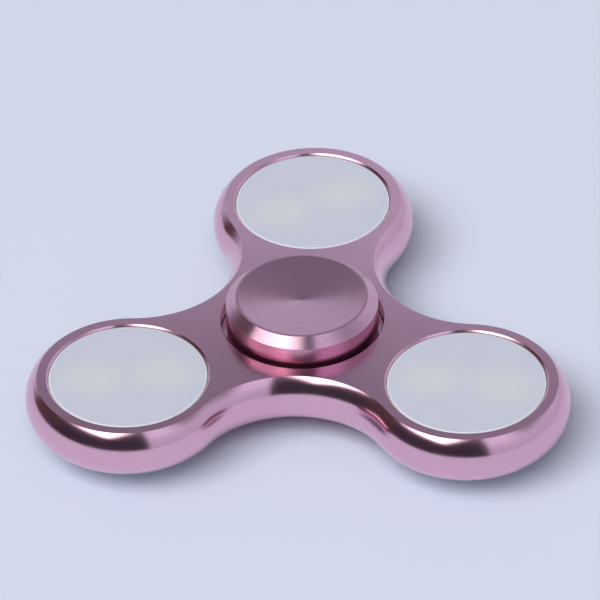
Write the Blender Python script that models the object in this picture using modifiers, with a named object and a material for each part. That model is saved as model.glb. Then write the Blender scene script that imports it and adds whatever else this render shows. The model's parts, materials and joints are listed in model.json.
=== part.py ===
"""Light-up fidget spinner: a three-lobed rotor on a shielded ball bearing, held by two thumb caps.

Units are metres, +Z up. The origin is the middle of the bearing, on the spin axis.
Each lobe holds one sealed lamp module under a milky lens, and pressing the lens works the lamp.
"""
import math

import bmesh
import bpy
from mathutils import Matrix, Vector

MM = 0.001

# Rotor plate: three round lobes joined by concave fillets, with convex sides.
PLATE_THICKNESS = 7.2 * MM
LOBE_PITCH_RADIUS = 26.8 * MM
LOBE_FACE_RADIUS = 12.55 * MM
WAIST_DISTANCE = 12.95 * MM
SIDE_ARC_RADIUS = 4.7 * MM
LOBE_ANGLES = {1: math.radians(90), 2: math.radians(210), 3: math.radians(330)}
LOBE_STEPS = 20
FILLET_STEPS = 7
SIDE_STEPS = 6

# Lamp pockets: a lipped mouth at the top, a wider bore below it.
MOUTH_RADIUS = 11.0 * MM
MOUTH_CHAMFER = 0.25 * MM
LIP_THICKNESS = 1.6 * MM
POCKET_RADIUS = 11.5 * MM
POCKET_CHAMFER = 0.25 * MM
POCKET_DEEP = 5 * MM

# Centre of the rotor: a well on each face, around a raised bearing seat.
WELL_RADIUS = 11.27 * MM
WELL_DEPTH = 2.2 * MM
SEAT_OUTER_RADIUS = 8.4 * MM
SEAT_HALF_HEIGHT = 2.45 * MM
SEAT_CHAMFER = 0.2 * MM

# Ball bearing, 12.7 x 6.35 x 4.76 mm.
BEARING_OUTER_RADIUS = 6.35 * MM
BEARING_BORE_RADIUS = 3.175 * MM
BEARING_HALF_WIDTH = 2.381 * MM
BALL_COUNT = 10
BALL_RADIUS = 0.78 * MM
BALL_PITCH_RADIUS = (BEARING_OUTER_RADIUS + BEARING_BORE_RADIUS) / 2
GROOVE_RADIUS = 0.87 * MM
INNER_LAND_RADIUS = 4.28 * MM
OUTER_LAND_RADIUS = 5.25 * MM
SHIELD_SEAT_RADIUS = 5.6 * MM
SHIELD_SEAT_DEPTH = 0.65 * MM
SHIELD_THICKNESS = 0.22 * MM
SNAP_WIRE = 0.28 * MM
CAGE_WALL = 0.66 * MM
CAGE_HALF_HEIGHT = 1.15 * MM
CAGE_HOLE_RADIUS = 0.88 * MM
RING_CHAMFER = 0.2 * MM

# Thumb caps: a shallow dish, a sloping rim and a skirt that reaches down into the well.
CAP_RADIUS = 10.56 * MM
CAP_TOP = 7.5 * MM
CAP_RIM_TOP = 6.26 * MM
DISH_EDGE_RADIUS = 9.19 * MM
DISH_LAND = 0.34 * MM
DISH_DEPTH = 0.9 * MM
SKIRT_BOTTOM = 2.0 * MM
SKIRT_WALL = 1.3 * MM
LOWER_CAP_RADIUS = 9.6 * MM
LOWER_SKIRT_WALL = 0.7 * MM
CAP_CEILING = 3.1 * MM
CAP_BOSS_RADIUS = 4.0 * MM
POST_RADIUS = 3.12 * MM
THREAD_RADIUS = 2.0 * MM
THREAD_LENGTH = 2.4 * MM

# Lamp module, heights from the rotor's middle plane.
LENS_TOP = 3.4 * MM
LENS_THICKNESS = 1.25 * MM
LENS_RADIUS = 10.9 * MM
LENS_SKIRT_INNER = 9.9 * MM
LENS_SKIRT_BOTTOM = 1.35 * MM
LENS_FLANGE_RADIUS = 11.3 * MM
LENS_TRAVEL = 0.4 * MM
LENS_EDGE = 0.15 * MM
NUB_RADIUS = 1.2 * MM
NUB_LENGTH = 0.4 * MM
TRAY_RADIUS = 11.38 * MM
TRAY_WALL = 0.7 * MM
TRAY_TOP = 0.75 * MM
TRAY_BOTTOM = -2.75 * MM
LEDGE_TOP = -0.65 * MM
LEDGE_THICKNESS = 0.5 * MM
LEDGE_INNER = 8.9 * MM
BOARD_RADIUS = 10.4 * MM
BOARD_TOP = 0.2 * MM
BOARD_THICKNESS = 0.8 * MM
BOARD_FLAT = 9.9 * MM
SWITCH_SIDE = 4.6 * MM
SWITCH_HEIGHT = 0.9 * MM
PLUNGER_RADIUS = 0.9 * MM
PLUNGER_HEIGHT = 0.75 * MM
LED_OFFSET = 4.7 * MM
LED_SIZE = (3.0 * MM, 2.8 * MM, 0.8 * MM)
LED_DOME_RADIUS = 1.1 * MM
LED_DOME_HEIGHT = 0.25 * MM
CHIP_SIZE = (3.0 * MM, 1.7 * MM, 0.8 * MM)
CHIP_OFFSET = 5.4 * MM
CELL_RADIUS = 6.25 * MM
CELL_THICKNESS = 1.6 * MM
CELL_TOP = -0.75 * MM
CLIP_WIDTH = 4.0 * MM
CLIP_GAUGE = 0.2 * MM
CLIP_FOOT = 1.2 * MM
COVER_THICKNESS = 0.6 * MM
COVER_RIM_RADIUS = 10.5 * MM
COVER_RIM_WALL = 0.5 * MM
COVER_RIM_HEIGHT = 0.6 * MM
COIN_SLOT = (9.0 * MM, 1.4 * MM, 0.3 * MM)
# How far each module is turned in its pocket: they press in at any angle.
MODULE_TURNS = {1: math.radians(27), 2: math.radians(8.5), 3: math.radians(-6)}

REST_GAP = 0.05 * MM
MERGE = 0.001 * MM
ROUND_STEPS = 36
SMALL_STEPS = 16
SMOOTH_ANGLE = math.radians(30)

# Material finishes: colour, roughness, metallic.
FINISHES = {
    "rose_plate": ((0.48, 0.26, 0.38), 0.30, 1.0),
    "rose_cap": ((0.50, 0.27, 0.40), 0.25, 1.0),
    "bearing_steel": ((0.62, 0.62, 0.64), 0.25, 1.0),
    "ball_steel": ((0.75, 0.75, 0.77), 0.08, 1.0),
    "cage_brass": ((0.62, 0.46, 0.20), 0.35, 1.0),
    "milky_lens": ((0.80, 0.82, 0.86), 0.40, 0.0),
    "white_plastic": ((0.85, 0.85, 0.84), 0.45, 0.0),
    "board_green": ((0.05, 0.22, 0.11), 0.45, 0.0),
    "led_package": ((0.92, 0.88, 0.62), 0.35, 0.0),
    "black_plastic": ((0.03, 0.03, 0.03), 0.45, 0.0),
    "cell_steel": ((0.66, 0.67, 0.69), 0.22, 1.0),
    "spring_steel": ((0.70, 0.68, 0.62), 0.30, 1.0),
}


# ---------------------------------------------------------------- shared helpers

def start_clean():
    for obj in list(bpy.data.objects):
        bpy.data.objects.remove(obj, do_unlink=True)


def new_collection(name):
    collection = bpy.data.collections.new(name)
    bpy.context.scene.collection.children.link(collection)
    return collection


def finish_material(finish):
    """One Principled material for each finish, shared by the parts that have it."""
    found = bpy.data.materials.get(finish)
    if found:
        return found
    colour, roughness, metallic = FINISHES[finish]
    material = bpy.data.materials.new(finish)
    material.use_nodes = True
    shader = material.node_tree.nodes["Principled BSDF"]
    shader.inputs["Base Color"].default_value = (*colour, 1.0)
    shader.inputs["Roughness"].default_value = roughness
    shader.inputs["Metallic"].default_value = metallic
    material.diffuse_color = (*colour, 1.0)
    return material


def place(obj, parent, location=(0, 0, 0), rotation=(0, 0, 0)):
    obj.parent = parent
    obj.location = location
    obj.rotation_euler = rotation
    return obj


def new_part(name, data, finish, parent=None, location=(0, 0, 0), rotation=(0, 0, 0)):
    obj = bpy.data.objects.new(name, data)
    PARTS.objects.link(obj)
    data.materials.append(finish_material(finish))
    return place(obj, parent, location, rotation)


def new_cutter(name, mesh, parent=None, location=(0, 0, 0), rotation=(0, 0, 0)):
    obj = bpy.data.objects.new(name, mesh)
    CUTTERS.objects.link(obj)
    obj.hide_render = True
    obj.display_type = "WIRE"
    return place(obj, parent, location, rotation)


def cut(obj, cutter):
    modifier = obj.modifiers.new(cutter.name, "BOOLEAN")
    modifier.operation = "DIFFERENCE"
    modifier.solver = "EXACT"
    modifier.object = cutter


def new_empty(name, location, turn=0.0):
    empty = bpy.data.objects.new(name, None)
    PARTS.objects.link(empty)
    return place(empty, None, location, (0, 0, turn))


def shade_round(mesh):
    mesh.shade_smooth()
    mesh.set_sharp_from_angle(angle=SMOOTH_ANGLE)


def turned_mesh(name, profile, steps=ROUND_STEPS, closed=False):
    """Turn (radius, height) points about Z. The profile runs down its outer side; closed makes a ring."""
    outline = bpy.data.meshes.new(name)
    count = len(profile)
    edges = [(i, (i + 1) % count) for i in range(count if closed else count - 1)]
    outline.from_pydata([(radius, 0.0, height) for radius, height in profile], edges, [])
    lathe = bpy.data.objects.new(name, outline)
    bpy.context.scene.collection.objects.link(lathe)
    screw = lathe.modifiers.new("turn", "SCREW")
    screw.axis = "Z"
    screw.steps = steps
    screw.render_steps = steps
    screw.use_merge_vertices = True
    screw.merge_threshold = MERGE
    mesh = evaluated_mesh(lathe)
    bpy.data.objects.remove(lathe, do_unlink=True)
    bpy.data.meshes.remove(outline)
    mesh.name = name
    shade_round(mesh)
    return mesh


def evaluated_mesh(obj):
    graph = bpy.context.evaluated_depsgraph_get()
    return bpy.data.meshes.new_from_object(obj.evaluated_get(graph))


def box_mesh(name, size):
    mesh = bpy.data.meshes.new(name)
    bm = bmesh.new()
    bmesh.ops.create_cube(bm, size=1.0, matrix=Matrix.Diagonal((*size, 1.0)))
    bm.to_mesh(mesh)
    bm.free()
    return mesh


def bevel(obj, width, segments=1):
    modifier = obj.modifiers.new("edges", "BEVEL")
    modifier.width = width
    modifier.segments = segments
    modifier.limit_method = "ANGLE"


def outline_curve(name, points, thickness):
    """A flat outline in its own XY plane, filled and extruded to both sides of it."""
    curve = bpy.data.curves.new(name, "CURVE")
    curve.dimensions = "2D"
    curve.fill_mode = "BOTH"
    curve.extrude = thickness / 2
    spline = curve.splines.new("POLY")
    spline.points.add(len(points) - 1)
    for point, (x, y) in zip(spline.points, points):
        point.co = (x, y, 0.0, 1.0)
    spline.use_cyclic_u = True
    return curve


def arc(centre, radius, start, end, steps):
    """Points along an arc, leaving out the last one."""
    angles = [start + (end - start) * i / steps for i in range(steps)]
    return [centre + radius * Vector((math.cos(a), math.sin(a))) for a in angles]


def polar(radius, angle):
    return Vector((radius * math.cos(angle), radius * math.sin(angle)))


def mirrored(profile):
    """A profile for the top half, from the top down, followed by its mirror image below."""
    return profile + [(radius, -height) for radius, height in reversed(profile)]


# ---------------------------------------------------------------- rotor plate

def waist_fillet_radius():
    """Radius of the concave arc that touches two lobes and passes the waist."""
    along = LOBE_PITCH_RADIUS * math.cos(math.radians(60))
    across = LOBE_PITCH_RADIUS * math.sin(math.radians(60))
    gap = WAIST_DISTANCE - along
    return (gap ** 2 + across ** 2 - LOBE_FACE_RADIUS ** 2) / (2 * (LOBE_FACE_RADIUS - gap))


def plate_outline(offset):
    """The plate's outline, moved outwards by offset: lobes grow and fillets shrink."""
    fillet = waist_fillet_radius()
    points = []
    for lobe_angle in LOBE_ANGLES.values():
        lobe = polar(LOBE_PITCH_RADIUS, lobe_angle)
        waist = polar(WAIST_DISTANCE + fillet, lobe_angle + math.radians(60))
        towards = waist - lobe
        sweep = math.atan2(towards.y, towards.x) - lobe_angle
        sweep = (sweep + math.pi) % (2 * math.pi) - math.pi
        points += arc(lobe, LOBE_FACE_RADIUS + offset, lobe_angle - sweep, lobe_angle + sweep, LOBE_STEPS)
        entry = lobe_angle + sweep + math.pi
        turn = 2 * (sweep - math.radians(60))
        points += arc(waist, fillet - offset, entry, entry - turn, FILLET_STEPS)
    return points


def side_rings():
    """(offset, height) of each ring down the convex side, from the top face to the bottom one."""
    half = PLATE_THICKNESS / 2
    edge_angle = math.asin(half / SIDE_ARC_RADIUS)
    rings = []
    for i in range(SIDE_STEPS + 1):
        angle = edge_angle * (1 - 2 * i / SIDE_STEPS)
        offset = SIDE_ARC_RADIUS * (math.cos(angle) - math.cos(edge_angle))
        rings.append((offset, SIDE_ARC_RADIUS * math.sin(angle)))
    return rings


def plate_mesh():
    mesh = bpy.data.meshes.new("body_frame")
    bm = bmesh.new()
    loops = []
    for offset, height in side_rings():
        verts = [bm.verts.new((x, y, height)) for x, y in plate_outline(offset)]
        loops.append([bm.edges.new((verts[i - 1], verts[i])) for i in range(len(verts))])
    for upper, lower in zip(loops, loops[1:]):
        bmesh.ops.bridge_loops(bm, edges=upper + lower)
    for rim in (loops[0], loops[-1]):
        bmesh.ops.contextual_create(bm, geom=rim)
    bmesh.ops.recalc_face_normals(bm, faces=bm.faces)
    bm.to_mesh(mesh)
    bm.free()
    shade_round(mesh)
    return mesh


def pocket_cutter_mesh():
    """Chamfered mouth, lip and wider bore, running past both faces."""
    half = PLATE_THICKNESS / 2
    over = 1 * MM
    lip = half - LIP_THICKNESS
    return turned_mesh("pocket_cutter", [
        (0, half + over),
        (MOUTH_RADIUS + MOUTH_CHAMFER + over, half + over),
        (MOUTH_RADIUS, half - MOUTH_CHAMFER),
        (MOUTH_RADIUS, lip),
        (POCKET_RADIUS, lip),
        (POCKET_RADIUS, -half + POCKET_CHAMFER),
        (POCKET_RADIUS + POCKET_CHAMFER + over, -half - over),
        (0, -half - over),
    ])


def centre_cutter_mesh():
    """The well on both faces, the bearing seat's top and its bore."""
    half = PLATE_THICKNESS / 2
    over = 1 * MM
    floor = half - WELL_DEPTH
    bore = BEARING_OUTER_RADIUS + REST_GAP
    return turned_mesh("centre_cutter", mirrored([
        (0, half + over),
        (WELL_RADIUS, half + over),
        (WELL_RADIUS, floor),
        (SEAT_OUTER_RADIUS, floor),
        (SEAT_OUTER_RADIUS, SEAT_HALF_HEIGHT),
        (bore + SEAT_CHAMFER, SEAT_HALF_HEIGHT),
        (bore, SEAT_HALF_HEIGHT - SEAT_CHAMFER),
    ]))


def make_plate():
    plate = new_part("body_frame", plate_mesh(), "rose_plate")
    cut(plate, new_cutter("centre_cutter", centre_cutter_mesh()))
    pocket = pocket_cutter_mesh()
    for lobe, angle in LOBE_ANGLES.items():
        spot = polar(LOBE_PITCH_RADIUS, angle).to_3d()
        cut(plate, new_cutter(f"pocket_cutter_{lobe}", pocket, location=spot))


# ---------------------------------------------------------------- bearing

def groove(side, steps=4):
    """The ball groove's arc on a ring's land, from top to bottom. side is +1 outer ring, -1 inner."""
    land = OUTER_LAND_RADIUS if side > 0 else INNER_LAND_RADIUS
    reach = math.acos(abs(land - BALL_PITCH_RADIUS) / GROOVE_RADIUS)
    points = []
    for i in range(steps + 1):
        angle = reach * (1 - 2 * i / steps)
        radius = BALL_PITCH_RADIUS + side * GROOVE_RADIUS * math.cos(angle)
        points.append((radius, GROOVE_RADIUS * math.sin(angle)))
    return points


def make_outer_ring():
    half = BEARING_HALF_WIDTH
    seat = half - SHIELD_SEAT_DEPTH
    outside = mirrored([
        (BEARING_OUTER_RADIUS - RING_CHAMFER, half),
        (BEARING_OUTER_RADIUS, half - RING_CHAMFER),
    ])
    inside = [(SHIELD_SEAT_RADIUS, -half), (SHIELD_SEAT_RADIUS, -seat), (OUTER_LAND_RADIUS, -seat)]
    inside += list(reversed(groove(+1)))
    inside += [(OUTER_LAND_RADIUS, seat), (SHIELD_SEAT_RADIUS, seat), (SHIELD_SEAT_RADIUS, half)]
    mesh = turned_mesh("bearing_outer_ring", outside + inside, closed=True)
    new_part("bearing_outer_ring", mesh, "bearing_steel")


def make_inner_ring():
    half = BEARING_HALF_WIDTH
    outside = [(INNER_LAND_RADIUS, half)] + groove(-1) + [(INNER_LAND_RADIUS, -half)]
    inside = [
        (BEARING_BORE_RADIUS + RING_CHAMFER, -half),
        (BEARING_BORE_RADIUS, -half + RING_CHAMFER),
        (BEARING_BORE_RADIUS, half - RING_CHAMFER),
        (BEARING_BORE_RADIUS + RING_CHAMFER, half),
    ]
    mesh = turned_mesh("bearing_inner_ring", outside + inside, closed=True)
    new_part("bearing_inner_ring", mesh, "bearing_steel")


def make_shield(name, side):
    """A pressed steel washer in the outer ring's step, clear of the inner ring."""
    outer = SHIELD_SEAT_RADIUS - REST_GAP
    inner = INNER_LAND_RADIUS + 3 * REST_GAP
    low = BEARING_HALF_WIDTH - SHIELD_SEAT_DEPTH + REST_GAP
    high = low + SHIELD_THICKNESS
    ring = [(outer, high), (outer, low), (inner, low), (inner, high)]
    mesh = turned_mesh(name, ring, closed=True)
    new_part(name, mesh, "bearing_steel", rotation=(0 if side > 0 else math.pi, 0, 0))


def make_snap_wire(name, side):
    """The spring ring that holds a shield in its step."""
    outer = SHIELD_SEAT_RADIUS - REST_GAP
    inner = outer - SNAP_WIRE
    low = BEARING_HALF_WIDTH - SHIELD_SEAT_DEPTH + 2 * REST_GAP + SHIELD_THICKNESS
    high = low + SNAP_WIRE
    mesh = turned_mesh(name, [(outer, high), (outer, low), (inner, low), (inner, high)], closed=True)
    new_part(name, mesh, "spring_steel", rotation=(0 if side > 0 else math.pi, 0, 0))


def cage_holes_mesh():
    """One radial drill for each ball, all in one cutter."""
    mesh = bpy.data.meshes.new("cage_holes")
    bm = bmesh.new()
    for i in range(BALL_COUNT):
        angle = math.tau * i / BALL_COUNT
        turn = Matrix.Rotation(angle, 4, "Z")
        lie = Matrix.Rotation(math.pi / 2, 4, "Y")
        out = Matrix.Translation((BALL_PITCH_RADIUS, 0, 0))
        bmesh.ops.create_cone(bm, cap_ends=True, segments=12, radius1=CAGE_HOLE_RADIUS,
                              radius2=CAGE_HOLE_RADIUS, depth=2 * MM, matrix=turn @ out @ lie)
    bm.to_mesh(mesh)
    bm.free()
    return mesh


def make_cage():
    inner = BALL_PITCH_RADIUS - CAGE_WALL / 2
    outer = BALL_PITCH_RADIUS + CAGE_WALL / 2
    top = CAGE_HALF_HEIGHT
    ring = [(outer, top), (outer, -top), (inner, -top), (inner, top)]
    cage = new_part("bearing_cage", turned_mesh("bearing_cage", ring, closed=True), "cage_brass")
    cut(cage, new_cutter("cage_holes", cage_holes_mesh()))


def ball_mesh():
    mesh = bpy.data.meshes.new("bearing_ball")
    bm = bmesh.new()
    bmesh.ops.create_uvsphere(bm, u_segments=10, v_segments=6, radius=BALL_RADIUS)
    bm.to_mesh(mesh)
    bm.free()
    mesh.shade_smooth()
    return mesh


def make_balls():
    mesh = ball_mesh()
    mesh.materials.append(finish_material("ball_steel"))
    for i in range(BALL_COUNT):
        ball = bpy.data.objects.new(f"bearing_ball_{i + 1:02d}", mesh)
        PARTS.objects.link(ball)
        angle = math.tau * i / BALL_COUNT
        place(ball, None, polar(BALL_PITCH_RADIUS, angle).to_3d(), (0, 0, angle))


# ---------------------------------------------------------------- thumb caps

def cap_outside(radius, wall):
    """From the dish's centre, over the rim, down the skirt and in to the boss that sits on the bearing."""
    dish_edge = radius - CAP_RADIUS + DISH_EDGE_RADIUS
    return [
        (0, CAP_TOP - DISH_DEPTH),
        (dish_edge - DISH_LAND, CAP_TOP),
        (dish_edge, CAP_TOP),
        (radius, CAP_RIM_TOP),
        (radius, SKIRT_BOTTOM),
        (radius - wall, SKIRT_BOTTOM),
        (radius - wall, CAP_CEILING),
        (CAP_BOSS_RADIUS, CAP_CEILING),
        (CAP_BOSS_RADIUS, BEARING_HALF_WIDTH + REST_GAP),
        (POST_RADIUS, BEARING_HALF_WIDTH + REST_GAP),
    ]


def make_top_cap():
    """The cap with the threaded stud."""
    profile = cap_outside(CAP_RADIUS, SKIRT_WALL) + [
        (POST_RADIUS, REST_GAP),
        (THREAD_RADIUS - REST_GAP, REST_GAP),
        (THREAD_RADIUS - REST_GAP, -THREAD_LENGTH),
        (0, -THREAD_LENGTH),
    ]
    new_part("finger_cap_top", turned_mesh("finger_cap_top", profile), "rose_cap")


def make_bottom_cap():
    """The smaller cap with the tapped post, turned over so that its dish faces down."""
    profile = cap_outside(LOWER_CAP_RADIUS, LOWER_SKIRT_WALL) + [
        (POST_RADIUS, REST_GAP),
        (THREAD_RADIUS, REST_GAP),
        (THREAD_RADIUS, THREAD_LENGTH + 4 * REST_GAP),
        (0, THREAD_LENGTH + 4 * REST_GAP),
    ]
    mesh = turned_mesh("finger_cap_bottom", profile)
    new_part("finger_cap_bottom", mesh, "rose_cap", rotation=(math.pi, 0, 0))


# ---------------------------------------------------------------- lamp modules

def lens_profile():
    """A disc with a skirt, a stop flange under the pocket's lip and a nub over the switch."""
    under = LENS_TOP - LENS_THICKNESS
    flange_top = PLATE_THICKNESS / 2 - LIP_THICKNESS - 3 * REST_GAP
    return [
        (0, LENS_TOP),
        (LENS_RADIUS - LENS_EDGE, LENS_TOP),
        (LENS_RADIUS, LENS_TOP - LENS_EDGE),
        (LENS_RADIUS, flange_top),
        (LENS_FLANGE_RADIUS, flange_top),
        (LENS_FLANGE_RADIUS, LENS_SKIRT_BOTTOM),
        (LENS_SKIRT_INNER, LENS_SKIRT_BOTTOM),
        (LENS_SKIRT_INNER, under),
        (NUB_RADIUS, under),
        (NUB_RADIUS, under - NUB_LENGTH),
        (0, under - NUB_LENGTH),
    ]


def plunger_profile():
    top = LENS_TOP - LENS_THICKNESS - NUB_LENGTH - REST_GAP
    return [
        (0, top),
        (PLUNGER_RADIUS, top),
        (PLUNGER_RADIUS, top - PLUNGER_HEIGHT),
        (0, top - PLUNGER_HEIGHT),
    ]


def tray_profile():
    """A tube with an inner ledge that carries the board."""
    inner = TRAY_RADIUS - TRAY_WALL
    return [
        (TRAY_RADIUS, TRAY_TOP),
        (TRAY_RADIUS, TRAY_BOTTOM),
        (inner, TRAY_BOTTOM),
        (inner, LEDGE_TOP - LEDGE_THICKNESS),
        (LEDGE_INNER, LEDGE_TOP - LEDGE_THICKNESS),
        (LEDGE_INNER, LEDGE_TOP),
        (inner, LEDGE_TOP),
        (inner, TRAY_TOP),
    ]


def cell_profile():
    """A coin cell: the steel can below, its smaller face towards the board."""
    face = CELL_RADIUS - 0.9 * MM
    shoulder = 0.25 * MM
    bottom = CELL_TOP - CELL_THICKNESS
    return [
        (0, CELL_TOP),
        (face, CELL_TOP),
        (face, CELL_TOP - shoulder),
        (CELL_RADIUS - shoulder, CELL_TOP - shoulder),
        (CELL_RADIUS, CELL_TOP - 2 * shoulder),
        (CELL_RADIUS, bottom + shoulder),
        (CELL_RADIUS - shoulder, bottom),
        (0, bottom),
    ]


def cover_profile():
    """The back cover: a disc with a low rim that centres it in the tray."""
    top = TRAY_BOTTOM - REST_GAP
    inner = COVER_RIM_RADIUS - COVER_RIM_WALL
    return [
        (0, top),
        (inner, top),
        (inner, top + COVER_RIM_HEIGHT),
        (COVER_RIM_RADIUS, top + COVER_RIM_HEIGHT),
        (COVER_RIM_RADIUS, top),
        (TRAY_RADIUS, top),
        (TRAY_RADIUS, top - COVER_THICKNESS),
        (0, top - COVER_THICKNESS),
    ]


def board_outline():
    """A disc with one flat side."""
    reach = math.acos(BOARD_FLAT / BOARD_RADIUS)
    start = math.radians(-90) + reach
    end = math.radians(270) - reach
    points = arc(Vector((0, 0)), BOARD_RADIUS, start, end, ROUND_STEPS)
    return points + [polar(BOARD_RADIUS, end)]


def clip_outline():
    """A flat strip bent under the cell and up both sides, with feet that turn out under the board."""
    inner = CELL_RADIUS + 0.4 * MM
    outer = inner + CLIP_GAUGE
    top = BOARD_TOP - BOARD_THICKNESS - REST_GAP
    floor = CELL_TOP - CELL_THICKNESS - 2 * REST_GAP
    return [
        (inner, top),
        (inner, floor),
        (-inner, floor),
        (-inner, top),
        (-outer - CLIP_FOOT, top),
        (-outer - CLIP_FOOT, top - CLIP_GAUGE),
        (-outer, top - CLIP_GAUGE),
        (-outer, floor - CLIP_GAUGE),
        (outer, floor - CLIP_GAUGE),
        (outer, top - CLIP_GAUGE),
        (outer + CLIP_FOOT, top - CLIP_GAUGE),
        (outer + CLIP_FOOT, top),
    ]


def make_led(name, parent, offset):
    """A square package with a low round dome on top, joined as one body."""
    base = BOARD_TOP + REST_GAP + LED_SIZE[2] / 2
    led = new_part(name, box_mesh(name, LED_SIZE), "led_package", parent, (offset, 0, base))
    bevel(led, 0.1 * MM)
    dome = new_cutter(f"{name}_dome", turned_mesh(f"{name}_dome", [
        (0, LED_SIZE[2] / 2 + LED_DOME_HEIGHT),
        (LED_DOME_RADIUS * 0.6, LED_SIZE[2] / 2 + LED_DOME_HEIGHT * 0.8),
        (LED_DOME_RADIUS, LED_SIZE[2] / 2),
        (LED_DOME_RADIUS, 0),
        (0, 0),
    ], SMALL_STEPS // 2), parent, (offset, 0, base))
    union = led.modifiers.new("dome", "BOOLEAN")
    union.operation = "UNION"
    union.solver = "EXACT"
    union.object = dome


def make_switch(lobe, parent):
    name = f"switch_body_{lobe}"
    middle = BOARD_TOP + REST_GAP + SWITCH_HEIGHT / 2
    size = (SWITCH_SIDE, SWITCH_SIDE, SWITCH_HEIGHT)
    switch = new_part(name, box_mesh(name, size), "black_plastic", parent, (0, 0, middle))
    bevel(switch, 0.15 * MM)
    hole = PLUNGER_RADIUS + 2 * REST_GAP
    plunger_foot = plunger_profile()[-1][1]
    hole_floor = plunger_foot - LENS_TRAVEL - 2 * REST_GAP
    bore = turned_mesh(f"switch_hole_{lobe}", [
        (0, BOARD_TOP + 2 * SWITCH_HEIGHT),
        (hole, BOARD_TOP + 2 * SWITCH_HEIGHT),
        (hole, hole_floor),
        (0, hole_floor),
    ], SMALL_STEPS)
    cut(switch, new_cutter(f"switch_hole_{lobe}", bore, parent))


def make_back_cover(lobe, parent):
    name = f"back_cover_{lobe}"
    cover = new_part(name, turned_mesh(name, cover_profile()), "white_plastic", parent)
    bottom = TRAY_BOTTOM - REST_GAP - COVER_THICKNESS
    length, width, depth = COIN_SLOT
    slot = box_mesh(f"coin_slot_{lobe}", (length, width, 2 * depth))
    cut(cover, new_cutter(f"coin_slot_{lobe}", slot, parent, (0, 0, bottom)))


def make_module(lobe):
    centre = polar(LOBE_PITCH_RADIUS, LOBE_ANGLES[lobe]).to_3d()
    hub = new_empty(f"module_{lobe}", centre, MODULE_TURNS[lobe])
    for name, profile, finish, steps in (
        ("lens_cover", lens_profile(), "milky_lens", ROUND_STEPS),
        ("switch_plunger", plunger_profile(), "white_plastic", SMALL_STEPS),
        ("coin_cell", cell_profile(), "cell_steel", SMALL_STEPS + 4),
    ):
        new_part(f"{name}_{lobe}", turned_mesh(name, profile, steps), finish, hub)
    tray = turned_mesh("module_tray", tray_profile(), closed=True)
    new_part(f"module_tray_{lobe}", tray, "white_plastic", hub)
    make_back_cover(lobe, hub)
    make_switch(lobe, hub)
    make_led(f"led_left_{lobe}", hub, -LED_OFFSET)
    make_led(f"led_right_{lobe}", hub, LED_OFFSET)
    chip_height = BOARD_TOP + REST_GAP + CHIP_SIZE[2] / 2
    chip = box_mesh("driver_chip", CHIP_SIZE)
    bevel(new_part(f"driver_chip_{lobe}", chip, "black_plastic", hub,
                   (0, CHIP_OFFSET, chip_height)), 0.1 * MM)
    board = outline_curve("led_board", board_outline(), BOARD_THICKNESS)
    new_part(f"led_board_{lobe}", board, "board_green", hub,
             (0, 0, BOARD_TOP - BOARD_THICKNESS / 2))
    clip = outline_curve("battery_clip", clip_outline(), CLIP_WIDTH)
    new_part(f"battery_clip_{lobe}", clip, "spring_steel", hub, rotation=(math.pi / 2, 0, 0))


# ---------------------------------------------------------------- assembly

start_clean()
PARTS = new_collection("fidget_spinner")
CUTTERS = new_collection("cutters")
make_plate()
make_outer_ring()
make_inner_ring()
make_shield("bearing_shield_top", +1)
make_shield("bearing_shield_bottom", -1)
make_snap_wire("shield_wire_top", +1)
make_snap_wire("shield_wire_bottom", -1)
make_cage()
make_balls()
make_top_cap()
make_bottom_cap()
for lobe_number in LOBE_ANGLES:
    make_module(lobe_number)
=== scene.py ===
"""Looks for the light-up fidget spinner: fine meshes, procedural finishes, studio light and camera.

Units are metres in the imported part's frame: the spin axis is Z and the plate's middle plane is z = 0.
"""
import json
import math

import bmesh
import bpy
from mathutils import Matrix, Vector


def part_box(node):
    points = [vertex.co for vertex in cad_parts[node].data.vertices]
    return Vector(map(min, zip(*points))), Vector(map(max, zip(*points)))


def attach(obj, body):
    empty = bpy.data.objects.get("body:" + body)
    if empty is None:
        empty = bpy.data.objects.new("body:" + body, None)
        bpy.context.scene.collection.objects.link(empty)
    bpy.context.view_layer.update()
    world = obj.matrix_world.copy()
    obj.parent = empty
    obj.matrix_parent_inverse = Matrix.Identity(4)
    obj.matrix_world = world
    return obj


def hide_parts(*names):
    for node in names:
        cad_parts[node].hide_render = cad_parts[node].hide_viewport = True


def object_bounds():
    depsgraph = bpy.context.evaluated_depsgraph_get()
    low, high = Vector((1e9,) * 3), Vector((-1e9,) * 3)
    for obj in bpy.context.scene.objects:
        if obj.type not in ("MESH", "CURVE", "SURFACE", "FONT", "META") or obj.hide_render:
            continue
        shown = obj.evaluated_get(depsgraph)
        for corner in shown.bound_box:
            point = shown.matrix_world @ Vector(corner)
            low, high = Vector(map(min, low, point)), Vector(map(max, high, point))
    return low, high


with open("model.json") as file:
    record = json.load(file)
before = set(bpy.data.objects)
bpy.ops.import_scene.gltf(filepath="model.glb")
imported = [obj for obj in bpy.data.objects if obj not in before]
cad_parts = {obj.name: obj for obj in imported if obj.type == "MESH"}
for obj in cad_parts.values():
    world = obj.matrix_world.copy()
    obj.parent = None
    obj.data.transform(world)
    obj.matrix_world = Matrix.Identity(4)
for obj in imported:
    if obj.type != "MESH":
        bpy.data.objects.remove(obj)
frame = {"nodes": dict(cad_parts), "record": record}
CAD_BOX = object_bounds()

MM = 0.001
DEGREE = math.pi / 180

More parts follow.
